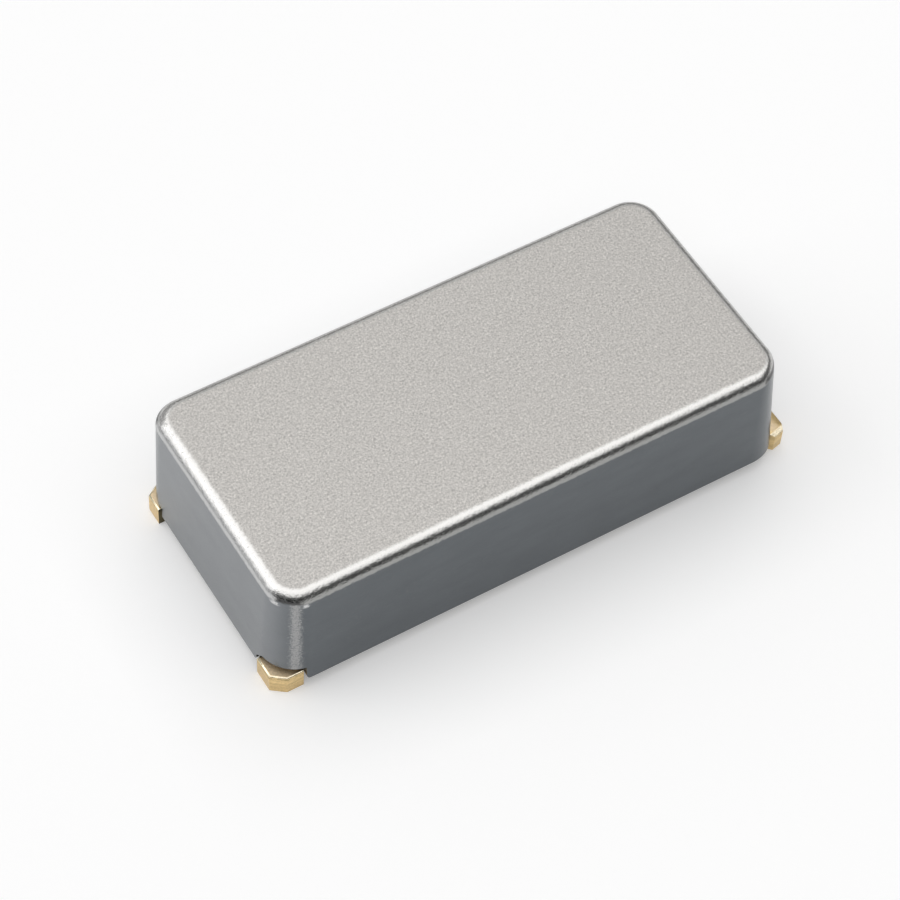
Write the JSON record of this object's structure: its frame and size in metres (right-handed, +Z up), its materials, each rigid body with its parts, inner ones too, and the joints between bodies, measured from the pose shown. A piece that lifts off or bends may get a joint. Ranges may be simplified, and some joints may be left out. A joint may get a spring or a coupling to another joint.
{
  "type": "real-time clock module",
  "caption": "Surface-mount real-time clock module: a drawn satin metal can sealed over a ceramic base, with bevelled gold lugs in notches at the can's corners, the one of terminal 1 larger.",
  "frame": {"origin": "on the seating plane, under the middle of the module's outline", "axes": "+X along the length, in the order of terminals 1 to 4 along the front; +Y across to the rear; +Z up from the board"},
  "size_m": [0.0032, 0.0014, 0.0008],
  "materials": {
    "nickel_can": "nickel plated, fine satin",
    "fired_ceramic": "fired, matt",
    "gold_tin_solder": "reflowed, satin",
    "gold_terminal": "gold plated, satin with bright edges",
    "silicon": "polished",
    "inner_gold": "gold plated",
    "quartz": "etched, clear",
    "silver_glue": "silver filled, dull"
  },
  "bodies": {
    "root": {"can": "nickel_can", "ceramic_base": "fired_ceramic", "seal_ring": "gold_tin_solder", "terminal_1": "gold_terminal", "terminal_2": "gold_terminal", "terminal_3": "gold_terminal", "terminal_4": "gold_terminal", "terminal_5": "gold_terminal", "terminal_6": "gold_terminal", "terminal_7": "gold_terminal", "terminal_8": "gold_terminal", "clock_chip": "silicon", "chip_bumps": "inner_gold", "chip_pads": "inner_gold", "quartz_fork": "quartz", "crystal_pad_front": "inner_gold", "crystal_pad_rear": "inner_gold", "adhesive_dot_front": "silver_glue", "adhesive_dot_rear": "silver_glue"}
  },
  "joints": []
}
